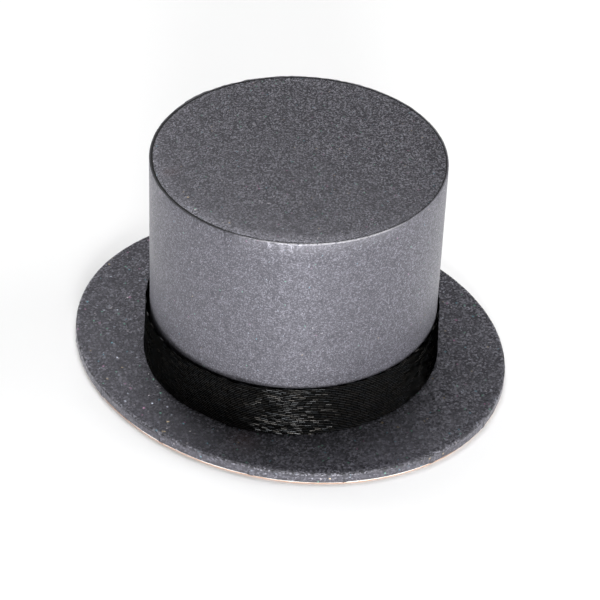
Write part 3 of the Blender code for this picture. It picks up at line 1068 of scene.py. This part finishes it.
RIBBON_WIDTH = BAND_HIGH.z - BAND_LOW.z
RIBBON_THICKNESS = 0.25 * MM
RIBBON_START = 70.0
RIBBON_LAP = 22.0
RIBBON_LAP_RISE = 8.0
RIBBON_TURN = 360.0 + RIBBON_LAP
RIBBON_STEPS = 1146
RIBBON_ROWS = 24
RIBBON_LENGTH = math.radians(RIBBON_TURN) * (CROWN_RADIUS + 0.4 * MM)

# How far the ribbon stands off the wall, in millimetres, by degrees round the crown
STAND_OFF = (
    (70, 0.16), (95, 0.20), (120, 0.55), (150, 0.85), (168, 0.75), (182, 0.46), (190, 0.62), (193.6, 0.82),
    (200, 0.64), (212, 0.40), (230, 0.24), (250, 0.16), (300, 0.18), (340, 0.30), (380, 0.18),
    (430, 0.16), (452, 0.16),
)


def make_hat_band():
    """A satin ribbon pulled once round the crown's foot, its end lapped over its beginning at the back."""
    deselect()
    bpy.ops.mesh.primitive_grid_add(
        x_subdivisions=RIBBON_STEPS, y_subdivisions=RIBBON_ROWS, size=1.0, calc_uvs=True,
    )
    ribbon = bpy.context.object
    ribbon.name = "satin_band"
    mesh = ribbon.data
    layer = mesh.uv_layers.active
    for loop in mesh.loops:
        flat = mesh.vertices[loop.vertex_index].co
        layer.data[loop.index].uv = ((flat.x + 0.5) * RIBBON_LENGTH, (flat.y + 0.5) * RIBBON_WIDTH)
    for vertex in mesh.vertices:
        travelled = (vertex.co.x + 0.5) * RIBBON_TURN
        across = vertex.co.y + 0.5
        angle = RIBBON_START + travelled
        around = math.radians(angle)
        stand_off = along_curve(STAND_OFF, angle) * MM
        lapping = ease((travelled - 360.0 + RIBBON_LAP_RISE) / RIBBON_LAP_RISE)
        lap_lift = (RIBBON_THICKNESS + 0.12 * MM) * lapping
        flare = 0.42 * MM * (1.0 - across)
        near_edge = abs(across - 0.5) * 2.0
        selvedge = 0.05 * MM * ease((near_edge - 0.93) / 0.05)
        direction = Vector((math.cos(around), math.sin(around), 0.0))
        sample = direction * CROWN_RADIUS + Vector((0.0, 0.0, across * RIBBON_WIDTH))
        wave = 0.03 * MM * ripple(sample, 9.0 * MM, 14.0) + 0.006 * MM * ripple(sample, 1.5 * MM, 3.0)
        radius = CROWN_RADIUS + stand_off + flare + lap_lift + selvedge + wave
        nubs = 0.10 * MM * ripple(sample, 0.8 * MM, 19.0) * ease((0.06 - across) / 0.06)
        height = BAND_LOW.z + 0.08 * MM + across * (RIBBON_WIDTH - 0.12 * MM) + max(nubs, -0.06 * MM)
        vertex.co = direction * radius + Vector((0.0, 0.0, height))
    place_on_crown(ribbon)
    edit(ribbon)
    bpy.ops.mesh.normals_make_consistent(inside=False)
    leave_edit()
    outward = ribbon.data.polygons[0].normal.dot(ribbon.data.polygons[0].center - CROWN_CENTRE)
    if outward < 0.0:
        edit(ribbon)
        bpy.ops.mesh.flip_normals()
        leave_edit()
    cloth = ribbon.modifiers.new("thickness", "SOLIDIFY")
    cloth.thickness = RIBBON_THICKNESS
    cloth.offset = 1.0
    choose(ribbon)
    bpy.ops.object.modifier_apply(modifier=cloth.name)
    smooth(ribbon, 60)
    return finish_piece(ribbon, "crown", "black_satin", black_satin("black_satin_ribbon"), "hat_band")


# -------------------- camera, floor and light

def add_camera():
    """Stands back from the foot of the crown, a little rolled, and aims above it."""
    azimuth = math.radians(VIEW_AZIMUTH)
    elevation = math.radians(VIEW_ELEVATION)
    back = Vector((
        math.sin(azimuth) * math.cos(elevation),
        -math.cos(azimuth) * math.cos(elevation),
        math.sin(elevation),
    ))
    foot = Vector((CROWN_CENTRE.x, CROWN_CENTRE.y, BRIM_TOP))
    level_right = (-back).cross(Vector((0.0, 0.0, 1.0))).normalized()
    level_up = level_right.cross(-back)
    roll = math.radians(VIEW_ROLL)
    up = level_up * math.cos(roll) - level_right * math.sin(roll)
    right = level_right * math.cos(roll) + level_up * math.sin(roll)
    ahead = -back + up * math.tan(math.radians(AIM_UP)) + right * math.tan(math.radians(AIM_RIGHT))
    ahead.normalize()
    right = ahead.cross(up).normalized()
    up = right.cross(ahead)
    camera_data = bpy.data.cameras.new("camera")
    camera_data.lens = LENS
    camera_data.sensor_width = SENSOR
    camera_data.clip_start = 0.01
    camera = bpy.data.objects.new("camera", camera_data)
    bpy.context.scene.collection.objects.link(camera)
    turn = Matrix((right, up, -ahead)).transposed().to_4x4()
    camera.matrix_world = Matrix.Translation(foot + back * VIEW_DISTANCE) @ turn
    bpy.context.scene.camera = camera


FLOOR_WIDTH = 6.0
FLOOR_GAP = 0.05 * MM
FLOOR_WHITE = 0.93


def add_floor():
    """A plain pale table top just under the brim."""
    deselect()
    bpy.ops.mesh.primitive_plane_add(size=FLOOR_WIDTH, location=(0.0, 0.0, -FLOOR_GAP))
    floor = bpy.context.object
    floor.name = "floor"
    material = new_finish("pale_floor", Base_Color=grey(FLOOR_WHITE), Roughness=0.9)[0]
    floor.data.materials.append(material)


LAMP_DISTANCE = 0.8

# Soft boxes on stands round the table: name, degrees from the camera, elevation, width, power
LAMPS = (
    ("front_box", 4.0, 12.0, 0.25, 6.5),
    ("right_box", 45.0, 12.0, 0.6, 1.5),
    ("far_right_box", 90.0, 35.0, 0.6, 2.0),
    ("high_back_left_box", 225.0, 35.0, 0.6, 2.0),
    ("overhead_box", 185.0, 80.0, 0.5, 4.0),
)


def add_area_light(name, azimuth, elevation, width, power):
    """A round soft box on a stand, turned to the hat. Azimuths are measured like the camera's."""
    light_data = bpy.data.lights.new(name, "AREA")
    light_data.shape = "DISK"
    light_data.size = width
    light_data.energy = power
    light = bpy.data.objects.new(name, light_data)
    light.visible_camera = False
    bpy.context.scene.collection.objects.link(light)
    a = math.radians(azimuth)
    e = math.radians(elevation)
    place = Vector((math.sin(a) * math.cos(e), -math.cos(a) * math.cos(e), math.sin(e))) * LAMP_DISTANCE
    light.location = place
    light.rotation_mode = "QUATERNION"
    light.rotation_quaternion = place.to_track_quat("Z", "Y")


# The sine of the elevation where the screens start to darken and where they end, and how bright they are
SCREENS_FADE = 0.25
SCREENS_END = 0.42
SCREENS_BRIGHTNESS = 0.55


def add_world():
    """A pale band of screens round the table, with a dark ceiling over it."""
    world = bpy.data.worlds.new("studio")
    bpy.context.scene.world = world
    world.use_nodes = True
    desk = Desk(world.node_tree)
    direction = desk.node("ShaderNodeTexCoord").outputs["Generated"]
    height = desk.node("ShaderNodeSeparateXYZ", Vector=direction).outputs["Z"]
    brightness = desk.between(height, SCREENS_FADE, SCREENS_END, SCREENS_BRIGHTNESS, 0.0, True)
    background = world.node_tree.nodes["Background"]
    desk.feed(background.inputs["Color"], desk.mix_colour(brightness, grey(0.0), grey(1.0)))


def main():
    lining = lining_paper("ivory_lining_paper")
    wrapped_lining = lining_paper("ivory_lining_strip", wrapped=True)
    make_brim_cover()
    make_underside_card()
    make_neck_paper(wrapped_lining)
    make_box_floor(lining)
    wall = make_crown_wall()
    make_crown_top()
    make_crown_lining(wrapped_lining)
    make_ceiling(lining)
    band = make_hat_band()
    board = grey_board("grey_board")
    for name in ("brim_board", "neck_collar", "crown_tube", "crown_top_board"):
        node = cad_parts[name]
        for index in range(max(1, len(node.material_slots))):
            node.material_slots[index].material = board
    add_camera()
    add_floor()
    for name, azimuth, elevation, width, power in LAMPS:
        add_area_light(name, VIEW_AZIMUTH + azimuth, elevation, width, power)
    add_world()
    bpy.context.scene.view_settings.view_transform = "Standard"


main()
